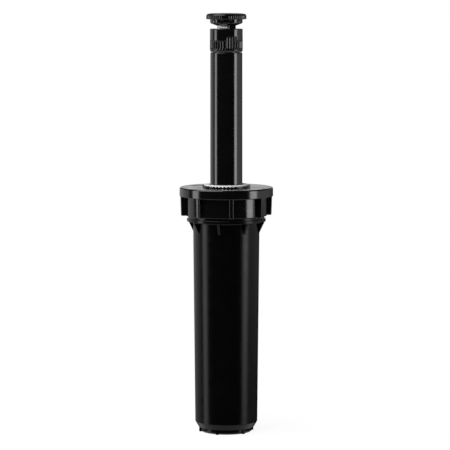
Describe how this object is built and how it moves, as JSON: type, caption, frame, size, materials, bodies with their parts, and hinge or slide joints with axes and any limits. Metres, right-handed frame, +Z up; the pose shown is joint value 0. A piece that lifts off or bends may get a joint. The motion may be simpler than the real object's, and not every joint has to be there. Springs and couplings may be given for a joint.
{
  "type": "pop-up spray sprinkler",
  "caption": "Pop-up lawn spray head: tubular case with threaded inlet, ribbed screw cap, spring-retracted riser and a turnable fan-spray nozzle, shown popped up.",
  "frame": {"origin": "centre of the inlet face, the lowest face of the body", "axes": "+Z up along the riser axis, from the inlet to the nozzle; -Y is the front; +X is the right seen from the front"},
  "size_m": [0.0568, 0.057, 0.2553],
  "materials": {
    "case_plastic": "satin moulded black",
    "gloss_plastic": "glossy moulded black",
    "pale_plastic": "pale grey moulded",
    "natural_plastic": "natural acetal",
    "grey_plastic": "dark grey moulded",
    "rubber": "matt black rubber",
    "stainless": "drawn stainless"
  },
  "bodies": {
    "casing": {"body_case": "case_plastic"},
    "seal_carrier": {"wiper_seal": "rubber", "spring_top_washer": "natural_plastic", "retract_spring": "stainless"},
    "cap": {"screw_cap": "gloss_plastic", "seal_retainer": "pale_plastic"},
    "slider": {"ratchet_ring": "natural_plastic"},
    "riser": {"ratchet_crown": "grey_plastic", "riser_stem": "gloss_plastic", "check_seal": "rubber", "check_seal_clip": "natural_plastic", "filter_screen": "grey_plastic", "filter_lid": "natural_plastic", "nozzle_gasket": "rubber", "nozzle_base": "gloss_plastic"},
    "spray_head": {"arc_head": "gloss_plastic", "arc_spindle": "natural_plastic", "spindle_nut": "natural_plastic"},
    "throttle": {"radius_screw": "stainless"}
  },
  "joints": [
    {"name": "cap_lift", "type": "slide", "parent": "casing", "child": "seal_carrier", "axis": [0, 0, 1], "range_m": [0, 0.008]},
    {"name": "cap_turn", "type": "hinge", "parent": "seal_carrier", "child": "cap", "pos_m": [0, 0, 0.14], "axis": [0, 0, 1], "range_deg": [0, 721]},
    {"name": "riser_slide", "type": "slide", "parent": "seal_carrier", "child": "slider", "axis": [0, 0, 1], "range_m": [-0.0994, 0], "stiffness_N_per_m": 120, "springref_m": 0.06, "deforming": ["retract_spring"]},
    {"name": "riser_ratchet", "type": "hinge", "parent": "slider", "child": "riser", "pos_m": [0, 0, 0.128], "axis": [0, 0, 1], "continuous": true},
    {"name": "arc_adjust", "type": "hinge", "parent": "riser", "child": "spray_head", "pos_m": [0, 0, 0.247], "axis": [0, 0, 1], "range_deg": [0, 330]},
    {"name": "radius_adjust", "type": "hinge", "parent": "spray_head", "child": "throttle", "pos_m": [0, 0, 0.2545], "axis": [0, 0, 1], "range_deg": [-720, 720]}
  ],
  "couplings": [
    {"joint": "cap_turn", "follows": "cap_lift", "rad_per_m": 1570.8}
  ]
}
